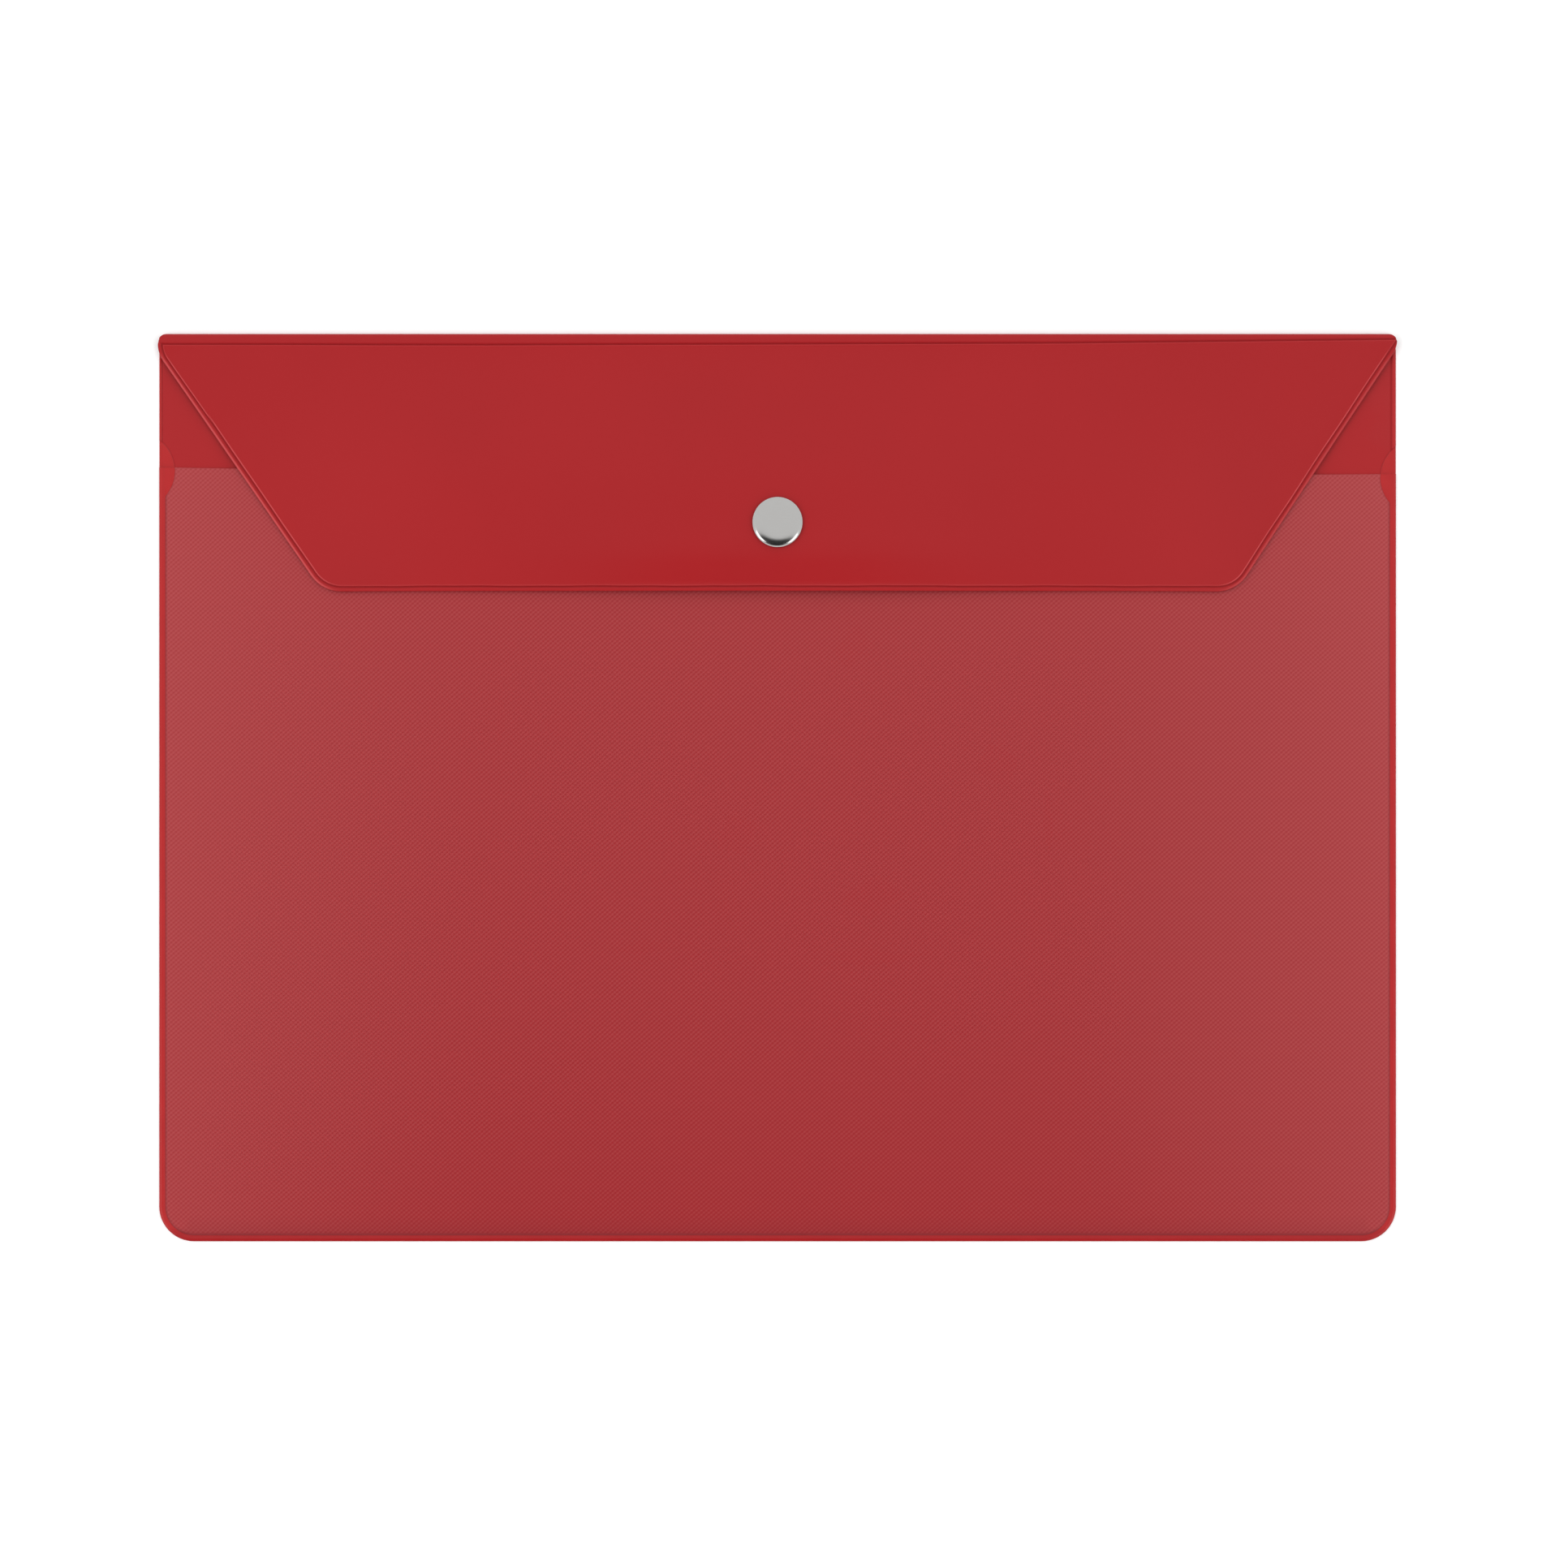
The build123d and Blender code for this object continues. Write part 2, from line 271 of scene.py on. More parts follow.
class WalletSnap(bpy.types.PropertyGroup):
    nickel_colour: tint("Nickel colour", "Colour of the plated metal", "#CBCAC8")
    crown_height: length("Crown height", "How far the cap's top drops to its edge", 0.0007)
    brush_width: length("Brush width", "Width of the fine brush marks in the plating", 0.00015)


class WalletStage(bpy.types.PropertyGroup):
    view_width: length("View width", "Width of the floor that the camera sees", 0.4059)
    lens: number("Lens", "Focal length of the camera", 85, unit="CAMERA")
    sky_level: number("Sky level", "Level of the even light from all round", 0.832, min=0)
    lamp_level: number(
        "Lamp level", "Power that each lamp takes its share of", 8, min=0, unit="POWER"
    )
    floor_colour: tint("Floor colour", "Colour of the floor", "#F4F4F4")


# Shapes


def ramp(share):
    """Rises smoothly from 0 to 1 and stays there."""
    held = np.clip(share, 0, 1)
    return held**3 * (10 - 15 * held + 6 * held**2)


def hump(share):
    """1 in the middle, falling smoothly to 0 at a share of 1 on either side."""
    held = np.clip(np.abs(share), 0, 1)
    return (1 - held**2) ** 2


def soft_line(corners, radii, step, closed=False):
    """Points along a line through corners, each rounded by its radius."""
    corners = [np.array(c, float) for c in corners]
    arcs = []
    for i, corner in enumerate(corners):
        if not radii[i]:
            arcs.append([corner])
            continue
        back = corners[i - 1] - corner
        on = corners[(i + 1) % len(corners)] - corner
        back /= np.hypot(*back)
        on /= np.hypot(*on)
        half = math.acos(float(np.clip(back @ on, -1, 1))) / 2
        inward = (back + on) / np.hypot(*(back + on))
        middle = corner + inward * radii[i] / math.sin(half)
        spoke = corner + back * radii[i] / math.tan(half) - middle
        turn = math.copysign(math.pi - 2 * half, back[1] * on[0] - back[0] * on[1])
        count = max(3, math.ceil(abs(turn) / ARC_STEP))
        across = np.array([-spoke[1], spoke[0]])
        turns = np.linspace(0, turn, count + 1)
        arcs.append([middle + spoke * math.cos(a) + across * math.sin(a) for a in turns])
    line = []
    for i, arc in enumerate(arcs):
        line.extend(arc)
        if i + 1 < len(arcs) or closed:
            run = arcs[(i + 1) % len(arcs)][0] - arc[-1]
            count = math.ceil(np.hypot(*run) / step)
            line.extend(arc[-1] + run * k / count for k in range(1, count))
    return np.array(line)


def beside(line, distance, closed=False):
    """A line moved to its left, its corners mitred."""
    ahead = np.roll(line, -1, 0) - line
    ahead /= np.hypot(ahead[:, 0], ahead[:, 1])[:, None]
    before = np.roll(ahead, 1, 0)
    if not closed:
        ahead[-1] = before[-1]
        before[0] = ahead[0]
    both = ahead + before
    left = np.column_stack([-both[:, 1], both[:, 0]])
    return line + distance * 2 * left / (left**2).sum(1)[:, None]


def gap_to(points, line, closed=False):
    """Distance of each point from a line."""
    ends = np.roll(line, -1, 0) if closed else line[1:]
    nearest = np.full(len(points), np.inf)
    for start, end in zip(line, ends):
        run = end - start
        along = np.clip((points - start) @ run / (run @ run), 0, 1)
        away = points - start - along[:, None] * run
        nearest = np.minimum(nearest, np.hypot(away[:, 0], away[:, 1]))
    return nearest


def inside(points, loop):
    """Which points lie inside a closed line."""
    found = np.zeros(len(points), bool)
    x, y = points.T
    for (ax, ay), (bx, by) in zip(loop, np.roll(loop, -1, 0)):
        if ay != by:
            between = (ay > y) != (by > y)
            found ^= between & (x < (bx - ax) * (y - ay) / (by - ay) + ax)
    return found


def ring_of(centre, radius, count=48):
    """Points round a circle."""
    turn = np.linspace(0, 2 * math.pi, count, endpoint=False)
    return np.column_stack([centre[0] + radius * np.cos(turn), centre[1] + radius * np.sin(turn)])


def cut_film(outline, lines, step, holes=()):
    """Points and triangles that fill an outline and follow the lines drawn in it."""
    low, high = outline.min(0), outline.max(0)
    rows = np.arange(low[1], high[1], step * math.sqrt(3) / 2)
    lattice = []
    for k, y in enumerate(rows):
        lattice += [(x, y) for x in np.arange(low[0] + k % 2 * step / 2, high[0], step)]
    lattice = np.array(lattice)
    lattice = lattice[inside(lattice, outline)]
    drawn = [(outline, True), *[(h, True) for h in holes], *[(line, False) for line in lines]]
    for line, closed in drawn:
        lattice = lattice[gap_to(lattice, line, closed) > LATTICE_ROOM * step]
    points = []
    edges = []
    for line, closed in drawn:
        first = len(points)
        points.extend(line)
        edges.extend((first + i, first + i + 1) for i in range(len(line) - 1))
        if closed:
            edges.append((len(points) - 1, first))
    points.extend(lattice)
    made = delaunay_2d_cdt([Vector(p) for p in points], edges, [], 0, MERGE)
    flat = np.array([p[:] for p in made[0]])
    triangles = np.array(made[2])
    middles = flat[triangles].mean(1)
    keep = inside(middles, outline)
    for hole in holes:
        keep &= ~inside(middles, hole)
    used, triangles = np.unique(triangles[keep], return_inverse=True)
    flat = flat[used]
    triangles = triangles.reshape(-1, 3)
    a, b, c = (flat[triangles[:, i]] for i in range(3))
    area = (b[:, 0] - a[:, 0]) * (c[:, 1] - a[:, 1]) - (b[:, 1] - a[:, 1]) * (c[:, 0] - a[:, 0])
    triangles[area < 0] = triangles[area < 0][:, ::-1]
    return flat, triangles


def film_piece(name, flat, triangles, under, over, groove, finishes, welded=None):
    """A thin closed film between two heights, with its weld marks kept for the finish, which hold
    painted shade and painted highlights. Where its triangles are welded, they have the second
    finish."""
    count = len(flat)
    sides = {(int(t[i]), int(t[(i + 1) % 3])) for t in triangles for i in range(3)}
    walls = [(a, a + count, b + count, b) for a, b in sorted(sides) if (b, a) not in sides]
    tops = triangles.tolist()
    faces = tops + [[c + count, b + count, a + count] for a, b, c in tops] + walls
    points = np.vstack([np.column_stack([flat, over]), np.column_stack([flat, under])])
    mesh = bpy.data.meshes.new(name)
    mesh.from_pydata(points.tolist(), [], faces)
    # The marks hold the weld grooves' darkening, partly painted shade, painted highlights beside
    # the flap's grooves and painted shade along the front's bottom
    mark = mesh.attributes.new("groove", "FLOAT", "POINT")
    mark.data.foreach_set("value", np.concatenate([groove, 0 * groove]).astype(np.float32))
    for finish in finishes:
        mesh.materials.append(finish)
    if welded is not None:
        index = np.concatenate([welded, welded, np.zeros(len(walls))]).astype(np.int32)
        mesh.polygons.foreach_set("material_index", index)
    smooth_piece(mesh, FILM_CREASE)
    mesh.validate()
    return link_piece(name, mesh)


def smooth_piece(mesh, crease):
    """Shades a mesh smooth, apart from its creases."""
    mesh.polygons.foreach_set("use_smooth", np.ones(len(mesh.polygons), bool))
    mesh.set_sharp_from_angle(angle=crease)


def link_piece(name, mesh):
    """An object of a mesh, in the scene."""
    piece = bpy.data.objects.new(name, mesh)
    bpy.context.scene.collection.objects.link(piece)
    return piece


def turned_piece(name, section, finish):
    """A section of radius and height turned round the snap's axis. It is closed, or
    starts and ends on the axis."""
    turns = np.linspace(0, 2 * math.pi, AXIS_SIDES, endpoint=False)
    round_axis = [(math.cos(a), math.sin(a)) for a in turns]
    form = bmesh.new()
    rings = []
    for radius, height in section:
        if radius < ON_AXIS:
            rings.append([form.verts.new((0, SNAP_Y, height))] * AXIS_SIDES)
        else:
            places = [(radius * x, SNAP_Y + radius * y, height) for x, y in round_axis]
            rings.append([form.verts.new(place) for place in places])
    pairs = list(zip(rings, rings[1:]))
    if section[0][0] > ON_AXIS:
        pairs.append((rings[-1], rings[0]))
    for one, two in pairs:
        for i in range(AXIS_SIDES):
            k = (i + 1) % AXIS_SIDES
            form.faces.new(list(dict.fromkeys([one[i], one[k], two[k], two[i]])))
    return finished_form(name, form, finish)


def finished_form(name, form, finish):
    """Turns a form's faces outwards, smooths them and makes the piece."""
    bmesh.ops.recalc_face_normals(form, faces=form.faces)
    mesh = bpy.data.meshes.new(name)
    form.to_mesh(mesh)
    form.free()
    mesh.materials.append(finish)
    smooth_piece(mesh, METAL_CREASE)
    return link_piece(name, mesh)


def stamped_section(line):
    """Section of sheet metal along a line, with rounded cut edges."""
    left = beside(line, STAMPING_GAUGE / 2)
    right = beside(line, -STAMPING_GAUGE / 2)
    ends = [left, tip_of(left[-1], right[-1]), right[::-1]]
    if line[0][0] >= ON_AXIS:
        ends.append(tip_of(right[0], left[0]))
    return np.vstack(ends)


def tip_of(start, end):
    """Points between the ends of two sides, bulging clockwise from the first."""
    middle = (start + end) / 2
    spoke = (start - end) / 2
    across = np.array([spoke[1], -spoke[0]])
    turns = np.linspace(0, math.pi, 7)[1:-1]
    return np.array([middle + spoke * math.cos(a) + across * math.sin(a) * 0.5 for a in turns])


def pocket_rise(x, y, weld):
    """Height between the pocket's two films, 0 on the welds and at the fold."""
    across = ramp((HALF_WIDTH - weld - np.abs(x)) / SIDE_MARGIN)
    down = 1 - np.clip(1 - (y - BOTTOM - weld) / BOTTOM_MARGIN, 0, 1) ** 3
    return POCKET_ROOM * across * down * ramp((FOLD_Y - y) / (FOLD_Y - SNAP_Y - CAP_RADIUS))


def film_wave(x, y, height):
    """Slack of the films, the same in the front sheet and the flap above it. Its waves
    are 0.1 to 0.3 m long, and it is calm round the snap."""
    long = np.sin(x / 0.031 + 1.3 * np.sin(y / 0.047)) * np.sin(y / 0.038 + 0.7)
    short = 0.4 * np.sin(x / 0.017 - y / 0.023 + 2.1)
    calm = 1 - hump(np.hypot(x, y - SNAP_Y) / 0.03)
    return height * (long + short) * calm


def flap_face(x, y, films):
    """Lower face of the flap's outer ply: level at the fold, down on the front sheet at
    its sides, held up in the middle by the snap, and drooping to its lower edge."""
    start = 2 * FOLD_RADIUS - films.sheet_gauge
    front_top = films.sheet_gauge + FILM_FIT + films.front_gauge
    settled = front_top + FLAP_CLEARANCE + films.lining_gauge
    held = SOCKET_HIGH.z + SEAT_GAP + films.lining_gauge - POCKET_ROOM
    droop = FLAP_DROOP * ramp((SNAP_Y - CAP_RADIUS - y) / (SNAP_Y - CAP_RADIUS - FLAP_LOW))
    lift = (held - settled) * (1 - droop) / (1 + (x / FLAP_LIFT_REACH) ** 4)
    fall = settled + lift - start
    share = ramp((FOLD_Y - y) / (FOLD_Y - SNAP_Y - CAP_RADIUS))
    rise = pocket_rise(x, y, films.weld_width)
    return start + rise + fall * share + film_wave(x, y, films.wave_height) * rise / POCKET_ROOM


def mouth_line(x):
    """The mouth's cut edge, a little off square and higher at its ends."""
    return MOUTH_Y - MOUTH_SLOPE * x + MOUTH_RISE * (x / MOUTH_END) ** 4


def pad_place(side):
    """Centre and radius of the half-moon weld at one end of the mouth."""
    radius = (PAD_LENGTH**2 / 4 + PAD_REACH**2) / (2 * PAD_REACH)
    edge = HALF_WIDTH - WELD_WIDTH - PAD_REACH
    return np.array([side * (edge + radius), mouth_line(side * edge) - PAD_DROP]), radius


def pad_depth(points):
    """How far points lie inside the half-moon welds, negative outside them."""
    depths = []
    for side in (-1, 1):
        centre, radius = pad_place(side)
        depths.append(radius - np.hypot(*(points - centre).T))
    return np.maximum(*depths)


def pad_lines(insets):
    """The half-moon welds' inner edges, drawn at several insets and a little too long."""
    lines = []
    for side in (-1, 1):
        centre, radius = pad_place(side)
        for inset in insets:
            reach = radius - inset
            half = math.asin(PAD_DRAWN * PAD_LENGTH / reach)
            turn = np.linspace(-half, half, 24)
            x = centre[0] - side * reach * np.cos(turn)
            lines.append(np.column_stack([x, centre[1] + reach * np.sin(turn)]))
    return lines


def edge_round(gap, radius):
    """Drop of a film's surface where its cut edge is rounded."""
    short = np.clip(radius - gap, 0, radius)
    return radius - np.sqrt(radius**2 - short**2)


def round_ends(line):
    """Draws a line in where it passes the rounded ends of the fold."""
    past = np.clip(line[:, 1] - (FOLD_Y + FOLD_RADIUS - FOLD_END_RADIUS), 0, FOLD_END_RADIUS)
    half = FLAP_HALF - FOLD_END_RADIUS + np.sqrt(FOLD_END_RADIUS**2 - past**2)
    return np.column_stack([np.clip(line[:, 0], -half, half), line[:, 1]])


def pocket_side(left_top, right_top):
    """The pocket's sides and bottom, from its left end at the top to its right."""
    corners = [(-HALF_WIDTH, left_top), (-HALF_WIDTH, BOTTOM)]
    corners += [(HALF_WIDTH, BOTTOM), (HALF_WIDTH, right_top)]
    return round_ends(soft_line(corners, [0, CORNER_RADIUS, CORNER_RADIUS, 0], LINE_STEP))


def flap_corners(top_left, top_right):
    """Corners of the flap, from the right end of its top edge and round to the left. It
    is cut a little askew, so its lower edge lies to the right of the middle."""
    slant = math.atan2(FLAP_HALF - FLAP_LOWER_HALF, FOLD_Y - FLAP_LOW)
    side_low = FOLD_Y - FLAP_SIDE - SHOULDER_RADIUS * math.tan(slant / 2)
    return [
        (FLAP_HALF, top_right),
        (-FLAP_HALF, top_left),
        (-FLAP_HALF, side_low - LEFT_SHOULDER_DROP),
        (FLAP_SKEW[0] - FLAP_LOWER_HALF, FLAP_LOW),
        (FLAP_SKEW[1] + FLAP_LOWER_HALF, FLAP_LOW),
        (FLAP_HALF, side_low),
    ]


def flap_side(top, radii):
    """The flap's sides and lower edge, from its left end at the top to its right."""
    corners = flap_corners(top, top)
    return round_ends(soft_line([*corners[1:], corners[0]], [*radii[1:], 0], LINE_STEP))


def weld_corners():
    """Corners of the weld round the flap. On the left it follows the flap's shoulder, on
    the right its slanted side runs on up to the fold, and its top rises to the right."""
    top_right, right, left, top_left = (FOLD_Y + rise for rise in WELD_TOP)
    corners = flap_corners(top_left, top_right)
    low, shoulder = corners[4:]
    share = (top_right - low[1]) / (shoulder[1] - low[1])
    end = (low[0] + share * (shoulder[0] - low[0]), top_right)
    return [end, (WELD_BEND, right), (-WELD_BEND, left), *corners[1:5]]


# Materials


def add(tree, kind, settings=()):
    """Adds a shader node. A setting is the node's own value, a value of one of its
    sockets, or an output that feeds the socket."""
    node = tree.nodes.new("ShaderNode" + kind)
    for name, value in dict(settings).items():
        if isinstance(value, bpy.types.NodeSocket):
            tree.links.new(value, node.inputs[name])
        elif isinstance(name, str) and hasattr(node, name):
            setattr(node, name, value)
        else:
            node.inputs[name].default_value = value
    return node


def new_finish(name):
    """An empty material and its node tree, or None for the tree if it is made already."""
    found = bpy.data.materials.get(name)
    if found:
        return found, None
    finish = bpy.data.materials.new(name)
    finish.use_nodes = True
    finish.node_tree.nodes.clear()
    return finish, finish.node_tree


def shade(colour, share):
    """A colour with its light scaled by a share."""
    return (*[min(c * share, 1) for c in colour], 1)


def mottled(tree, place, size, detail, colour, shares):
    """A texture with spots of one size, and a colour that wanders with it."""
    spots = {"Scale": 1 / size, "Detail": detail, "Vector": place}
    texture = add(tree, "TexNoise", spots).outputs["Fac"]
    low, high = (shade(colour, share) for share in shares)
    mix = {"data_type": "RGBA", 0: texture, 6: low, 7: high}
    return texture, add(tree, "Mix", mix).outputs[2]


def weld_marked_and_shaded(tree, colour, code):
    """The weld marks, and a colour that darkens with them: the pressed film's deeper
    tone with painted shade in the grooves.
    """
    pressed = add(tree, "Attribute", {"attribute_name": "groove"}).outputs["Fac"]
    mix = {"data_type": "RGBA", 0: pressed, 6: colour, 7: (*linear(code), 1)}
    return pressed, add(tree, "Mix", mix).outputs[2]


def dress(tree, texture, gloss, depth, look):
    """Ends a finish: its gloss and its relief follow one texture."""
    span = {"To Min": gloss[0], "To Max": gloss[1], "Value": texture}
    rough = add(tree, "MapRange", span).outputs["Result"]
    relief = add(tree, "Bump", {"Distance": depth, "Height": texture}).outputs["Normal"]
    surface = add(tree, "BsdfPrincipled", {"Roughness": rough, "Normal": relief, **look})
    add(tree, "OutputMaterial", {"Surface": surface.outputs["BSDF"]})


def calendered_vinyl(films):
    """Soft PVC film, rolled between polished cylinders. It gives the eye an even satin
    red with a faint cloudiness and a fine grain. Its weld grooves are darker red, the pressed
    film's tone with painted shade over it, with painted highlights beside them."""
    finish, tree = new_finish("calendered_vinyl_red")
    if tree is None:
        return finish
    place = add(tree, "TexCoord").outputs["Object"]
    # Clouds about 45 mm across, from uneven cooling of the film
    _, tone = mottled(tree, place, 0.045, 2, films.sheet_colour, (0.95, 1.05))
    # Painted shade: the weld grooves darken, over the pressed film's deeper tone
    pressed, dark = weld_marked_and_shaded(tree, tone, PRESSED_AND_SHADED_SHEET)
    # Painted highlight: where the mark is below 0 the film is painted paler, along the flap's
    # brows and cut edges, and a little over the back panel
    painted_light_share = add(tree, "Math", {"operation": "MULTIPLY", 0: pressed, 1: -1}).outputs[0]
    mix = {"data_type": "RGBA", 0: painted_light_share, 6: dark, 7: (*linear(PALER_AND_HIGHLIT_SHEET), 1)}
    pale = add(tree, "Mix", mix).outputs[2]
    # Grain of the cylinders, really about 0.1 mm, drawn at 0.7 mm so that it shows
    spots = {"Scale": 1 / 0.0007, "Detail": 3, "Vector": place}
    grain = add(tree, "TexNoise", spots).outputs["Fac"]
    look = {"IOR": VINYL_IOR, "Specular IOR Level": 0.22, "Base Color": pale}
    dress(tree, grain, (0.36, 0.46), 0.000008, look)
    return finish


def embossed_vinyl(films):
    """Thin clear red PVC film with a fine diamond emboss. It gives the eye a hazy pink
    red, since the emboss scatters light, with the opaque red behind showing through. The haze is
    partly painted sheen: stronger on the emboss lines, at the sides and towards the top."""
    finish, tree = new_finish("embossed_vinyl_clear_red")
    if tree is None:
        return finish
    place = add(tree, "TexCoord").outputs["Object"]
    # The real lines are about 0.5 mm apart, a little over one pixel, so they are drawn
    # coarser, at the film's emboss pitch. One way is deeper than the other
    rate = 2 * math.pi / films.emboss_pitch
    lean = math.radians(42)
    relief = 0.5
    for way, share in ((1, 0.18), (-1, 0.32)):
        across = (way * math.sin(lean) * rate, math.cos(lean) * rate, 0)
        turn = {"operation": "DOT_PRODUCT", 0: place, 1: across}
        phase = add(tree, "VectorMath", turn).outputs["Value"]
        wave = add(tree, "Math", {"operation": "COSINE", 0: phase}).outputs[0]
        scaled = {"operation": "MULTIPLY_ADD", 0: wave, 1: share, 2: relief}
        relief = add(tree, "Math", scaled).outputs[0]
    # The emboss lines add haze, partly the film's own scatter and partly painted sheen, and the
    # haze is painted stronger at the sides and towards the top, as painted sheen
    parts = add(tree, "SeparateXYZ", {0: place}).outputs
    haze_and_sheen = relief
    fourth = add(tree, "Math", {"operation": "POWER", 0: parts["X"], 1: 4}).outputs[0]
    for source, share in ((parts["Y"], 1.8), (fourth, 780)):
        scaled = {"operation": "MULTIPLY_ADD", 0: source, 1: share, 2: haze_and_sheen}
        haze_and_sheen = add(tree, "Math", scaled).outputs[0]
    level = {"operation": "MULTIPLY_ADD", 0: haze_and_sheen, 1: 0.5, 2: -0.005}
    share = add(tree, "Math", level).outputs[0]
    colours = {6: shade(films.front_colour, 1), 7: (*linear(HAZE_AND_SHEEN), 1)}
    mix = {"data_type": "RGBA", "blend_type": "ADD", 0: share, **colours}
    # Painted shade: the rim's groove, the half-moons' edges and the bottom darken
    _, dark = weld_marked_and_shaded(tree, add(tree, "Mix", mix).outputs[2], PRESSED_AND_SHADED_FRONT)
    look = {"IOR": VINYL_IOR, "Alpha": films.front_opacity, "Base Color": dark}
    dress(tree, relief, (0.48, 0.58), films.emboss_height, look)
    return finish


def welded_vinyl(films):
    """PVC film melted and pressed by a hot bar. It gives the eye a smoother, brighter and
    deeper red than the film beside it, with slow ripples along the bar."""
    finish, tree = new_finish("welded_vinyl_red")
    if tree is None:
        return finish
    place = add(tree, "TexCoord").outputs["Object"]
    # Flow of the melt, ripples about 6 mm long
    flow, tone = mottled(tree, place, 0.006, 2, films.weld_colour, (0.93, 1.07))
    # Painted shade: the weld grooves, the half-moons' edges and the bottom darken
    _, dark = weld_marked_and_shaded(tree, tone, PRESSED_AND_SHADED_WELD)
    look = {"IOR": VINYL_IOR, "Specular IOR Level": 0.25, "Base Color": dark}
    dress(tree, flow, (0.26, 0.36), 0.00004, look)
    return finish


def nickel_plate(snap):
    """Nickel plating over stamped brass, lightly brushed. It gives the eye a pale warm
    grey mirror, softened along the brush marks."""
    finish, tree = new_finish("nickel_plate_brushed")
    if tree is None:
        return finish
    place = add(tree, "TexCoord").outputs["Object"]
    # Brush marks 0.15 mm wide and about 4 mm long, along the wallet's width
    rates = (1 / 0.004, 1 / snap.brush_width, 1 / snap.brush_width)
    scaled = {"operation": "MULTIPLY", 0: place, 1: rates}
    along = add(tree, "VectorMath", scaled).outputs["Vector"]
    marks, tone = mottled(tree, along, 1, 2, snap.nickel_colour, (0.96, 1.04))
    dress(tree, marks, (0.10, 0.2), 0.000001, {"Metallic": 1.0, "Base Color": tone})
    return finish


def paper_floor(stage):
    """Matt white background paper. It gives the eye plain white and the wallet's shadow."""
    finish, tree = new_finish("background_paper_white")
    if tree is None:
        return finish
    place = add(tree, "TexCoord").outputs["Object"]
    # Fibre about 2 mm across
    _, tone = mottled(tree, place, 0.002, 1, stage.floor_colour, (0.99, 1.0))
    matt = add(tree, "BsdfDiffuse", {"Color": tone}).outputs[0]
    # The lamps leave the far floor darker, so it is lifted to the same white
    far = add(tree, "VectorMath", {"operation": "LENGTH", 0: place}).outputs["Value"]
    span = {"From Min": 0.25, "From Max": 1.0, "To Min": 0.15, "To Max": 0.4, "Value": far}
    lift = add(tree, "MapRange", span).outputs["Result"]
    shown = seen_ray(tree, "Is Camera Ray", "Is Glossy Ray", "Is Transmission Ray")
    level = add(tree, "Math", {"operation": "MULTIPLY", 0: shown, 1: lift}).outputs[0]
    white = add(tree, "Emission", {"Strength": level}).outputs[0]
    both = add(tree, "AddShader", {0: matt, 1: white}).outputs[0]
    add(tree, "OutputMaterial", {"Surface": both})
    return finish


def seen_ray(tree, *kinds):
    """1 for a ray of one of these kinds."""
    ray = add(tree, "LightPath")
    share = ray.outputs[kinds[0]]
    for kind in kinds[1:]:
        either = {"operation": "MAXIMUM", 0: share, 1: ray.outputs[kind]}
        share = add(tree, "Math", either).outputs[0]
    return share


# Pieces


def settle(piece, body, slot, *nodes):
    """Hands a piece to its body and hides the CAD nodes it stands for. The slot is not used."""
    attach(piece, body)
    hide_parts(*nodes)


class WALLET_OT_back_panel(bpy.types.Operator):
    """Makes the flat back of the wallet, with its weld marks"""

    bl_idname = "wallet.back_panel"
    bl_label = "Back panel"

    def execute(self, context):
        films = context.scene.wallet_films
        side = pocket_side(FOLD_Y, FOLD_Y)
        top = soft_line([side[-1], side[0]], [0, 0], LINE_STEP)
        outline = np.vstack([side, top[1:-1]])
        longer = pocket_side(FOLD_Y + CROSSING, FOLD_Y + CROSSING)
        lines = [beside(longer, inset) for inset in BACK_ROWS]
        lines += pad_lines(BACK_PAD_ROWS)
        flat, triangles = cut_film(outline, lines, BACK_STEP)
        x, y = flat.T
        gap = gap_to(flat, side)
        pad = pad_depth(flat)
        above = ramp((y - mouth_line(x)) / 0.0004)
        place = np.where(x < 0, *BACK_GROOVE_PLACES)
        bead = BACK_BEAD * hump((gap - 0.5 * place) / (0.55 * place)) * above
        trough = hump((gap - place) / MARK_WIDTH) * above * (pad < 0)
        sunk = BACK_MARK * (trough + ramp(pad / 0.00015))
        edge = edge_round(gap, BACK_EDGE_RADIUS)
        over = films.sheet_gauge + bead - sunk - edge
        under = edge + BACK_MARK / 2 * hump((gap - films.weld_width) / 0.0003)
        rim = 0.8 * hump((pad - 0.00005) / 0.0002) * above
        centre = flat[triangles].mean(1)
        welded = (gap_to(centre, side) < WELD_WIDTH / 2) | (pad_depth(centre) > 0)
        # Painted shade darkens the weld grooves and the half-moons' edges. Elsewhere the film is
        # painted a little paler: partly the inner face's lighter tone, partly a lift of the shade
        # the flap casts on it.
        colour = np.where(trough + rim > 0.05, 0.75 * trough + rim, -0.05)
        vinyl = [calendered_vinyl(films), welded_vinyl(films)]
        piece = film_piece("back_film", flat, triangles, under, over, colour, vinyl, welded)
        settle(piece, "pocket", "red_film", "back_panel")
        return {"FINISHED"}


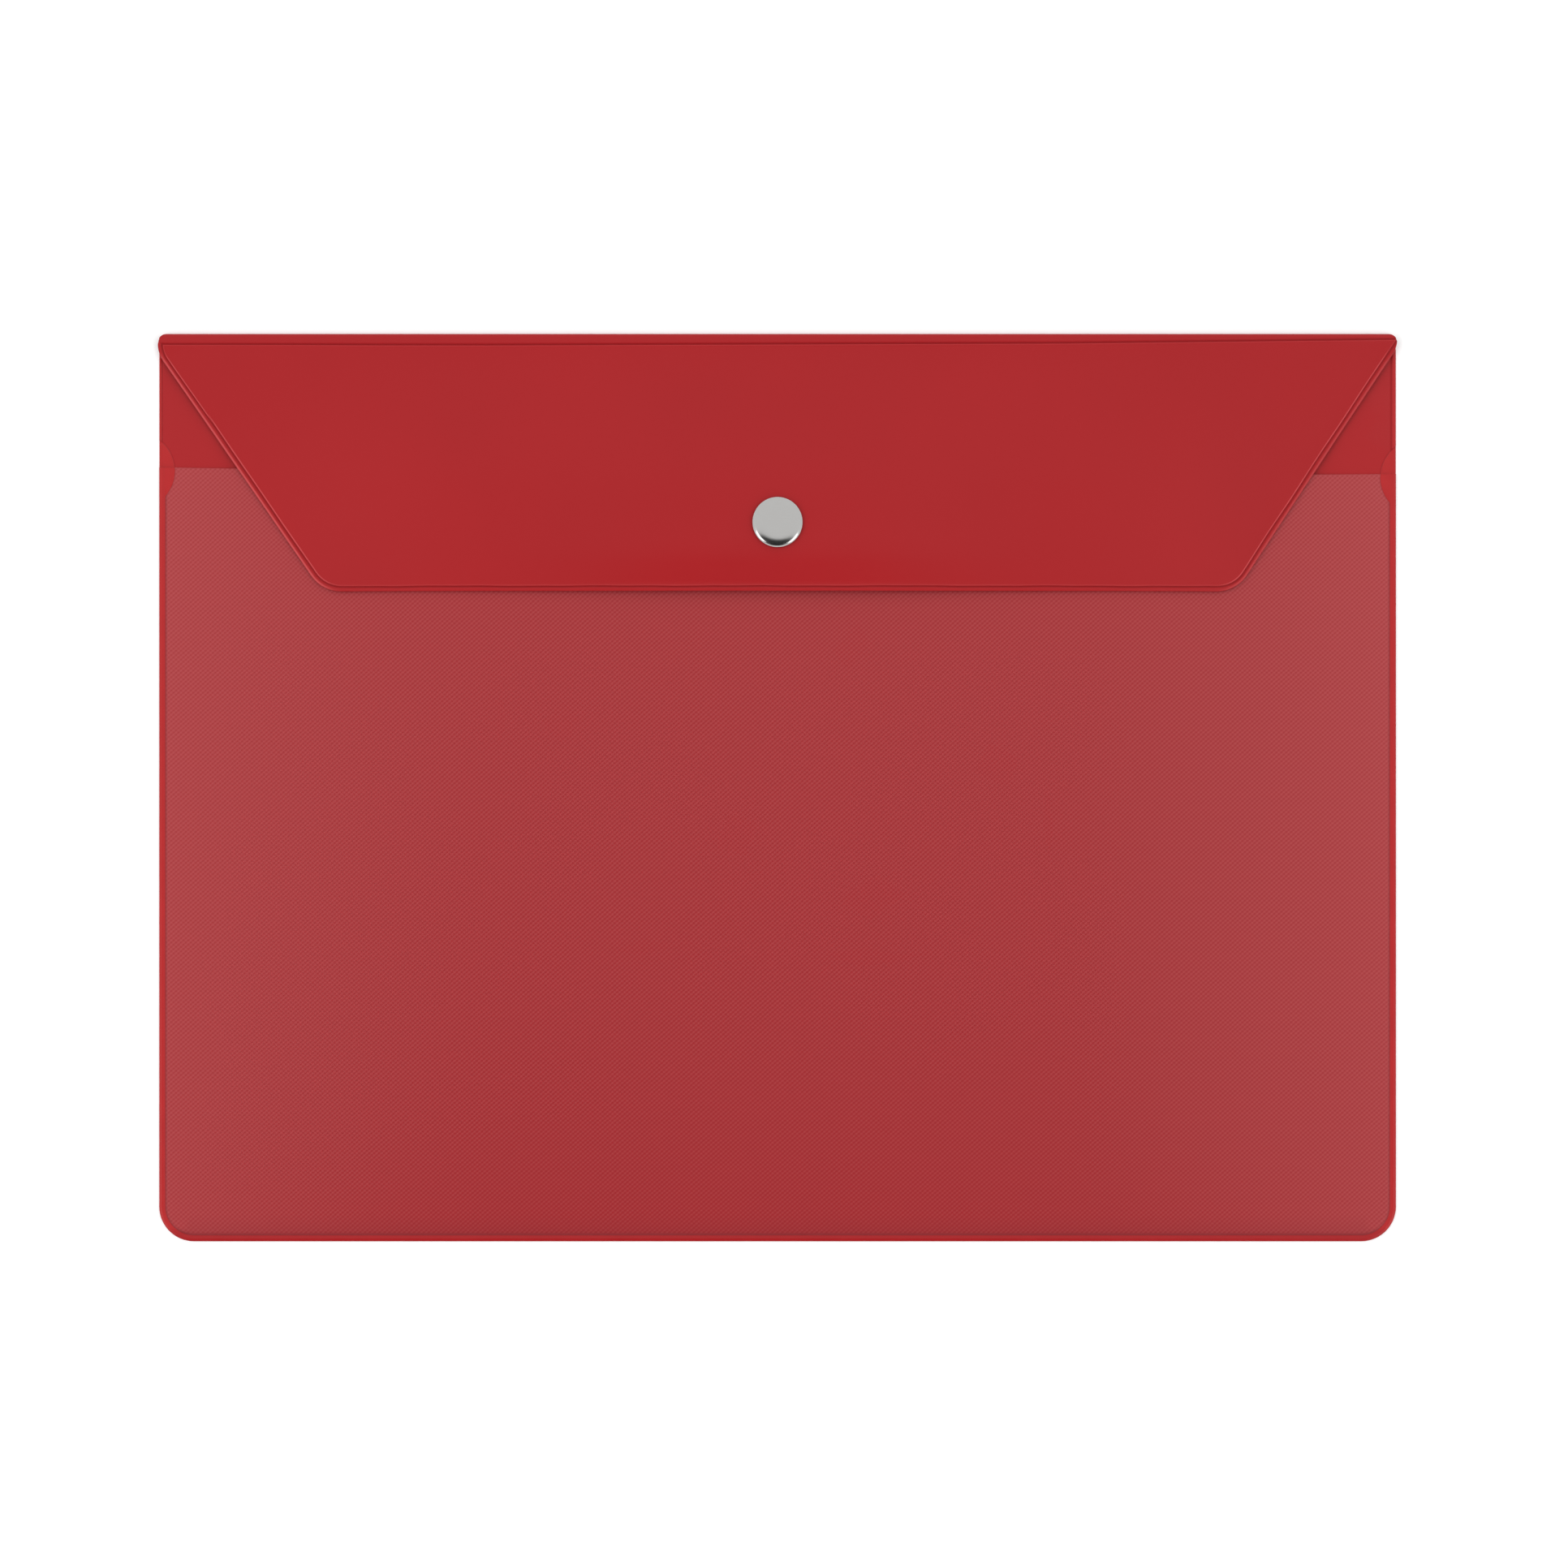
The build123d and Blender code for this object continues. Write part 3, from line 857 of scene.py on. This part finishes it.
class WALLET_OT_front_sheet(bpy.types.Operator):
    """Makes the translucent front of the pocket, with its welded rim"""

    bl_idname = "wallet.front_sheet"
    bl_label = "Front sheet"

    def execute(self, context):
        films = context.scene.wallet_films
        weld = films.weld_width
        side = pocket_side(mouth_line(-HALF_WIDTH), mouth_line(HALF_WIDTH))
        mouth_x = np.linspace(HALF_WIDTH, -HALF_WIDTH, 161)[1:-1]
        outline = np.vstack([side, np.column_stack([mouth_x, mouth_line(mouth_x)])])
        past_mouth = mouth_line(-HALF_WIDTH) + 2 * CROSSING
        longer = pocket_side(past_mouth, past_mouth)
        lines = [beside(longer, share * weld) for share in FRONT_SHARES]
        lines += pad_lines(FRONT_PAD_ROWS)
        hole = ring_of((0, SNAP_Y), EYELET_RADIUS)
        flat, triangles = cut_film(outline, lines, FILM_STEP, [hole])
        x, y = flat.T
        gap = gap_to(flat, side)
        pad = pad_depth(flat)
        free = ramp((gap - weld) / (0.5 * weld)) * ramp(-pad / 0.0005)
        rise = pocket_rise(x, y, weld)
        wave = film_wave(x, y, films.wave_height) * rise / POCKET_ROOM
        film_low = films.sheet_gauge + FILM_FIT + rise + wave
        bead = films.bead_height * hump((gap - 0.48 * weld) / (0.5 * weld))
        trough = hump((gap - 1.08 * weld) / (0.22 * weld)) * (pad < 0)
        rim_top = films.sheet_gauge + RIM_HEIGHT + bead + PAD_RISE * ramp(pad / 0.0006)
        over = rim_top * (1 - free) + (film_low + films.front_gauge) * free
        over = over - RIM_GROOVE * trough - edge_round(gap, FRONT_EDGE_RADIUS)
        under = (films.sheet_gauge + PLY_GAP) * (1 - free) + film_low * free
        moon_edge = hump((pad + 0.00005) / MARK_WIDTH) * (gap > weld)
        # Painted shade: the bottom 4 mm of the film and its rim are painted darker, as less light
        # falls there
        bottom_shade = 0.4 * ramp((BOTTOM + 0.004 - y) / 0.002)
        centre = flat[triangles].mean(1)
        welded = (gap_to(centre, side) < weld) | (pad_depth(centre) > 0)
        # Painted shade in the rim's groove, at the half-moons' edges and along the bottom
        colour = np.clip(0.7 * trough + 0.5 * moon_edge + bottom_shade, 0, 1)
        vinyl = [embossed_vinyl(films), welded_vinyl(films)]
        piece = film_piece("front_film", flat, triangles, under, over, colour, vinyl, welded)
        settle(piece, "pocket", "clear_red_film", "front_sheet")
        return {"FINISHED"}


class WALLET_OT_flap(bpy.types.Operator):
    """Makes the flap's outer ply with its weld groove, and the lining behind it"""

    bl_idname = "wallet.flap"
    bl_label = "Flap"

    def execute(self, context):
        films = context.scene.wallet_films
        radii = [0, 0, SHOULDER_RADIUS, FLAP_CORNER_RADIUS, FLAP_CORNER_RADIUS, SHOULDER_RADIUS]
        outline = round_ends(soft_line(flap_corners(FOLD_Y, FOLD_Y), radii, LINE_STEP, True))
        side = flap_side(FOLD_Y, radii)
        longer = flap_side(FOLD_Y + CROSSING, radii)
        weld = soft_line(weld_corners(), [0, 0, 0, *radii[1:5]], LINE_STEP, True)
        hole = ring_of((0, SNAP_Y), POST_RADIUS)
        lines = [beside(longer, inset) for inset in FLAP_EDGE_ROWS]
        for inset in FLAP_WELD_ROWS:
            row = beside(weld, inset, True)
            lines.append(np.vstack([row, row[:1]]))
        flat, triangles = cut_film(outline, lines, FILM_STEP, [hole])
        x, y = flat.T
        edge = gap_to(flat, side)
        gap = np.where(inside(flat, weld), gap_to(flat, weld, True), 0)
        # The tool's track is wider at the left, steps in at the upper left, and wanders
        wide = 1 + (0.09 - 0.145 * ramp((y - TRACK_STEP_Y) / 0.001)) * ramp((-x - 0.1) / 0.03)
        wander = TRACK_WANDER[0] * np.sin(x / 0.0061 + y / 0.0043)
        wander = wander + TRACK_WANDER[1] * np.sin(x / 0.0023)
        gap = (gap + wander * hump(edge / 0.003)) / wide
        bead = FLAP_BEAD * hump((gap - FLAP_BEAD_PLACE) / FLAP_BEAD_PLACE)
        trough = hump((gap - TROUGH_PLACE) / np.where(gap < TROUGH_PLACE, *TROUGH_WIDTHS))
        brow = hump((gap - BROW_PLACE) / BROW_WIDTH)
        # Painted highlight: the slanted sides are painted paler at the brow and near the cut,
        # more on the left, where the light falls
        slanted = ramp((np.abs(x) - 0.112) / 0.008) * ramp((FOLD_Y - 0.003 - y) / 0.004)
        pale = (0.25 + 0.7 * slanted) * brow
        pale = pale + hump((edge - 0.0003) / 0.0004) * slanted * np.where(x < 0, 0.9, 0.45)
        # The slanted sides also hang a little towards the back above the mouth
        hang = hump(edge / 0.012) * ramp((y - 0.086) / 0.006) * ramp((FOLD_Y - y) / 0.006)
        low = flap_face(x, y, films) - FLAP_HANG * hang
        over = low + films.sheet_gauge + bead + BROW_HEIGHT * brow - films.groove_depth * trough
        over = over - edge_round(edge, FLAP_EDGE_RADIUS)
        vinyl = [calendered_vinyl(films)]
        # Painted shade in the groove, painted highlight on the brow and the cut edge
        colour = np.where(trough > pale, trough, -pale)
        piece = film_piece("flap_film", flat, triangles, low, over, colour, vinyl)
        settle(piece, "flap", "red_film", "flap_sheet")
        under = low - films.lining_gauge + RIM_GROOVE * trough
        under = under + edge_round(edge, LINING_EDGE_RADIUS)
        top = low - PLY_GAP
        lining = film_piece("flap_lining_film", flat, triangles, under, top, 0 * trough, vinyl)
        settle(lining, "flap", "red_film", "flap_lining")
        return {"FINISHED"}


class WALLET_OT_fold(bpy.types.Operator):
    """Makes the strip of film that rolls over the top edge"""

    bl_idname = "wallet.fold"
    bl_label = "Fold"

    def execute(self, context):
        films = context.scene.wallet_films
        turns = np.linspace(-math.pi / 2, math.pi / 2, 25)
        shares = np.linspace(-1, 1, 81)
        form = bmesh.new()
        skins = []
        for radius in (FOLD_RADIUS, FOLD_RADIUS - films.sheet_gauge):
            skin = []
            for turn in turns:
                out = radius * math.cos(turn)
                past = max(out - (FOLD_RADIUS - FOLD_END_RADIUS), 0)
                half = FLAP_HALF - FOLD_END_RADIUS + math.sqrt(FOLD_END_RADIUS**2 - past**2)
                height = FOLD_RADIUS + radius * math.sin(turn)
                skin.append([form.verts.new((s * half, FOLD_Y + out, height)) for s in shares])
            skins.append(skin)
        outer, inner = skins
        last_turn, last_share = len(turns) - 1, len(shares) - 1
        for i in range(last_turn):
            for k in range(last_share):
                for one, two in ((skin[i], skin[i + 1]) for skin in skins):
                    form.faces.new([one[k], one[k + 1], two[k + 1], two[k]])
            for k in (0, last_share):
                form.faces.new([outer[i][k], outer[i + 1][k], inner[i + 1][k], inner[i][k]])
        for i in (0, last_turn):
            for k in range(last_share):
                form.faces.new([outer[i][k], outer[i][k + 1], inner[i][k + 1], inner[i][k]])
        piece = finished_form("fold_film", form, calendered_vinyl(films))
        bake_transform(piece)
        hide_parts("flap_fold")
        return {"FINISHED"}


class WALLET_OT_snap_cap(bpy.types.Operator):
    """Makes the snap's cap, and the post that holds it through the flap"""

    bl_idname = "wallet.snap_cap"
    bl_label = "Snap cap"

    def execute(self, context):
        snap = context.scene.wallet_snap
        nickel = nickel_plate(snap)
        half = STAMPING_GAUGE / 2
        side = CAP_RADIUS - half
        top = CAP_HIGH.z - half
        low = CAP_LOW.z + half
        level = CAP_LEVEL * side
        crown = [(level * share, top) for share in (0, 0.3, 0.6, 0.85)]
        for turn in np.linspace(0, math.pi / 2, 25):
            radius = level + (side - level) * math.sin(turn)
            crown.append((radius, top - snap.crown_height * (1 - math.cos(turn))))
        curl = soft_line(
            [(side, top - snap.crown_height - CROWN_END), (side, low), (side - CURL, low)],
            [0, 0.0003, 0],
            SECTION_STEP,
        )
        section = stamped_section(np.vstack([crown, curl]))
        settle(turned_piece("cap_disc", section, nickel), "flap", "nickel", "cap_shell")
        disc_low = CAP_LOW.z + STAMPING_GAUGE + SEAT_GAP
        rivet_top = POST_LOW.z + RIVET_HEIGHT
        corners = [
            (0, POST_HIGH.z),
            (POST_HIGH.x, POST_HIGH.z),
            (POST_HIGH.x, disc_low),
            (BOSS_RADIUS, disc_low),
            (BOSS_RADIUS, CAP_LOW.z),
            (POST_RADIUS, CAP_LOW.z),
            (POST_RADIUS, rivet_top),
            (POST_RADIUS + RIVET_SPREAD, rivet_top),
            (POST_RADIUS, POST_LOW.z),
            (0, POST_LOW.z),
        ]
        section = soft_line(corners, [0, *[RIVET_SOFTNESS] * 8, 0], 2 * SECTION_STEP)
        settle(turned_piece("cap_rivet", section, nickel), "flap", "nickel", "cap_post")
        return {"FINISHED"}


class WALLET_OT_snap_socket(bpy.types.Operator):
    """Makes the snap's socket on the flap's inner face: shell, plate and spring"""

    bl_idname = "wallet.snap_socket"
    bl_label = "Snap socket"

    def execute(self, context):
        nickel = nickel_plate(context.scene.wallet_snap)
        half = STAMPING_GAUGE / 2
        side = SOCKET_HIGH.x - half
        line = soft_line(
            [
                (SPRING_RADIUS + PLAY, SOCKET_LOW.z + half),
                (side, SOCKET_LOW.z + half),
                (side, SOCKET_HIGH.z - half),
                (side - CURL, SOCKET_HIGH.z - half),
            ],
            [0, 0.0006, 0.0004, 0],
            SECTION_STEP,
        )
        shell = turned_piece("socket_cup", stamped_section(line), nickel)
        settle(shell, "flap", "nickel", "socket_shell")
        bore = POST_RADIUS + PLAY
        corners = [(bore, PLATE_LOW.z), (PLATE_HIGH.x, PLATE_LOW.z)]
        corners += [(PLATE_HIGH.x, PLATE_HIGH.z), (bore, PLATE_HIGH.z)]
        section = soft_line(corners, [PLATE_SOFTNESS] * 4, SECTION_STEP, closed=True)
        settle(turned_piece("socket_back", section, nickel), "flap", "nickel", "socket_plate")
        wire = bpy.data.curves.new("socket_ring_line", "CURVE")
        wire.dimensions = "3D"
        wire.bevel_depth = SPRING_WIRE / 2
        wire.bevel_resolution = 6
        wire.use_fill_caps = True
        spline = wire.splines.new("POLY")
        start = -math.pi / 2 + SPRING_OPENING / 2
        turns = np.linspace(start, start + 2 * math.pi - SPRING_OPENING, 73)
        spline.points.add(len(turns) - 1)
        middle = (SPRING_LOW.z + SPRING_HIGH.z) / 2
        for point, turn in zip(spline.points, turns):
            x = SPRING_RADIUS * math.cos(turn)
            point.co = (x, SNAP_Y + SPRING_RADIUS * math.sin(turn), middle, 1)
        holder = link_piece("socket_ring_line", wire)
        context.view_layer.update()
        shaped = holder.evaluated_get(context.evaluated_depsgraph_get())
        mesh = bpy.data.meshes.new_from_object(shaped)
        bpy.data.objects.remove(holder)
        mesh.name = "socket_ring"
        mesh.materials.clear()
        mesh.materials.append(nickel)
        mesh.polygons.foreach_set("use_smooth", np.ones(len(mesh.polygons), bool))
        ring = link_piece("socket_ring", mesh)
        settle(ring, "flap", "nickel", "socket_spring")
        return {"FINISHED"}


class WALLET_OT_snap_stud(bpy.types.Operator):
    """Makes the snap's stud on the front sheet, and the eyelet that holds it"""

    bl_idname = "wallet.snap_stud"
    bl_label = "Snap stud"

    def execute(self, context):
        nickel = nickel_plate(context.scene.wallet_snap)
        half = STAMPING_GAUGE / 2
        flange = STUD_LOW.z + half
        crown = STUD_HIGH.z - half
        floor = STUD_LOW.z + CUP_FLOOR + half
        neck = NECK_RADIUS - half
        head = HEAD_RADIUS - half
        cup = CUP_RADIUS + half
        head_low = SPRING_HIGH.z + half / 2
        line = soft_line(
            [
                (STUD_HIGH.x, flange),
                (neck, flange),
                (neck, head_low - NECK_TAPER),
                (head, head_low),
                (head, head_low + HEAD_BAND),
                (neck, crown),
                (cup, crown),
                (cup, floor),
                (EYELET_RADIUS + PLAY, floor),
            ],
            [0, 0.00022, 0.0002, 0.0001, 0.0001, 0.00012, 0.0001, 0.0001, 0],
            SECTION_STEP,
        )
        stud = turned_piece("stud_button", stamped_section(line), nickel)
        settle(stud, "pocket", "nickel", "snap_stud")
        flange_top = EYELET_LOW.z + STAMPING_GAUGE
        inner = EYELET_RADIUS - EYELET_WALL
        roll_low = EYELET_HIGH.z - RIVET_HEIGHT
        corners = [
            (inner, EYELET_LOW.z),
            (EYELET_HIGH.x, EYELET_LOW.z),
            (EYELET_HIGH.x, flange_top),
            (EYELET_RADIUS, flange_top),
            (EYELET_RADIUS, roll_low),
            (EYELET_RADIUS + RIVET_SPREAD, roll_low),
            (EYELET_RADIUS, EYELET_HIGH.z),
            (inner, EYELET_HIGH.z),
        ]
        radii = [0.0001, 0.00012, 0.00012, 0.00004, 0.00004, 0.00008, 0.0001, 0.0001]
        section = soft_line(corners, radii, SECTION_STEP, closed=True)
        settle(turned_piece("stud_rivet", section, nickel), "pocket", "nickel", "stud_eyelet")
        return {"FINISHED"}


class WALLET_OT_stage(bpy.types.Operator):
    """Makes the floor, the lamps, the even light from all round and the camera"""

    bl_idname = "wallet.stage"
    bl_label = "Stage"

    def execute(self, context):
        scene = context.scene
        stage = scene.wallet_stage
        scene.view_settings.view_transform = "Standard"
        mesh = bpy.data.meshes.new("floor")
        ways = ((-1, -1), (1, -1), (1, 1), (-1, 1))
        corners = [(x * FLOOR_REACH, y * FLOOR_REACH, FLOOR_Z) for x, y in ways]
        mesh.from_pydata(corners, [], [(0, 1, 2, 3)])
        mesh.materials.append(paper_floor(stage))
        floor = link_piece("floor", mesh)
        for name, (spot, share, size, mirrored) in LAMPS.items():
            light = bpy.data.lights.new(name, "AREA")
            light.energy = stage.lamp_level * share
            light.size = size
            lamp = link_piece(name, light)
            lamp.location = spot
            lamp.rotation_euler = (-Vector(spot)).to_track_quat("-Z", "Y").to_euler()
            lamp.visible_glossy = mirrored
        self.light_all_round(scene, stage)
        eye = bpy.data.cameras.new("camera")
        eye.lens = stage.lens
        eye.sensor_width = SENSOR
        eye.clip_start = 0.01
        eye.clip_end = 50
        camera = link_piece("camera", eye)
        camera.location = (*VIEW_CENTRE, stage.view_width / SENSOR * stage.lens)
        scene.camera = camera
        return {"FINISHED"}

    def light_all_round(self, scene, stage):
        """Even white light, with one dark patch beside the camera that the metal mirrors."""
        world = bpy.data.worlds.new("studio")
        scene.world = world
        world.use_nodes = True
        tree = world.node_tree
        tree.nodes.clear()
        way = add(tree, "TexCoord").outputs["Generated"]
        squeeze = {"operation": "MULTIPLY", 0: way, 1: (PATCH_SQUEEZE, 1, 1)}
        squeezed = add(tree, "VectorMath", squeeze).outputs["Vector"]
        middle = (PATCH_X, -math.sin(PATCH_LEAN), math.cos(PATCH_LEAN))
        apart = {"operation": "DISTANCE", 0: squeezed, 1: middle}
        span = {
            "interpolation_type": "SMOOTHSTEP",
            "From Min": 0.28,
            "From Max": 0.4,
            "To Min": 0.03,
            "To Max": 1.0,
            "Value": add(tree, "VectorMath", apart).outputs["Value"],
        }
        patch = add(tree, "MapRange", span).outputs["Result"]
        mirrored = seen_ray(tree, "Is Glossy Ray")
        levels = {"To Min": stage.sky_level, "To Max": MIRRORED_SKY, "Value": mirrored}
        lit = add(tree, "MapRange", levels).outputs["Result"]
        patched = add(tree, "Math", {"operation": "MULTIPLY", 0: lit, 1: patch}).outputs[0]
        clear = seen_ray(tree, "Is Camera Ray", "Is Transmission Ray")
        level = add(tree, "Math", {"operation": "MAXIMUM", 0: patched, 1: clear}).outputs[0]
        sky = add(tree, "Background", {"Color": (1, 1, 1, 1), "Strength": level}).outputs[0]
        add(tree, "OutputWorld", {"Surface": sky})


class WALLET_PT_sidebar(bpy.types.Panel):
    """Lists the wallet's pieces and settings"""

    bl_idname = "WALLET_PT_sidebar"
    bl_label = "Document wallet"
    bl_space_type = "VIEW_3D"
    bl_region_type = "UI"
    bl_category = "Wallet"

    def draw(self, context):
        for operator in OPERATORS:
            self.layout.operator(operator.bl_idname)
        for name in SETTINGS:
            settings = getattr(context.scene, name)
            box = self.layout.box()
            for field in settings.__annotations__:
                box.prop(settings, field)


SETTINGS = {
    "wallet_films": WalletFilms,
    "wallet_snap": WalletSnap,
    "wallet_stage": WalletStage,
}
OPERATORS = (
    WALLET_OT_back_panel,
    WALLET_OT_front_sheet,
    WALLET_OT_flap,
    WALLET_OT_fold,
    WALLET_OT_snap_cap,
    WALLET_OT_snap_socket,
    WALLET_OT_snap_stud,
    WALLET_OT_stage,
)


def register():
    for made in (*SETTINGS.values(), *OPERATORS, WALLET_PT_sidebar):
        bpy.utils.register_class(made)
    for name, group in SETTINGS.items():
        setattr(bpy.types.Scene, name, PointerProperty(type=group))


def unregister():
    for name in SETTINGS:
        delattr(bpy.types.Scene, name)
    for made in reversed((*SETTINGS.values(), *OPERATORS, WALLET_PT_sidebar)):
        bpy.utils.unregister_class(made)


def main():
    register()
    bpy.ops.wallet.back_panel()
    bpy.ops.wallet.front_sheet()
    bpy.ops.wallet.flap()
    bpy.ops.wallet.fold()
    bpy.ops.wallet.snap_cap()
    bpy.ops.wallet.snap_socket()
    bpy.ops.wallet.snap_stud()
    bpy.ops.wallet.stage()


if __name__ == "__main__":
    main()
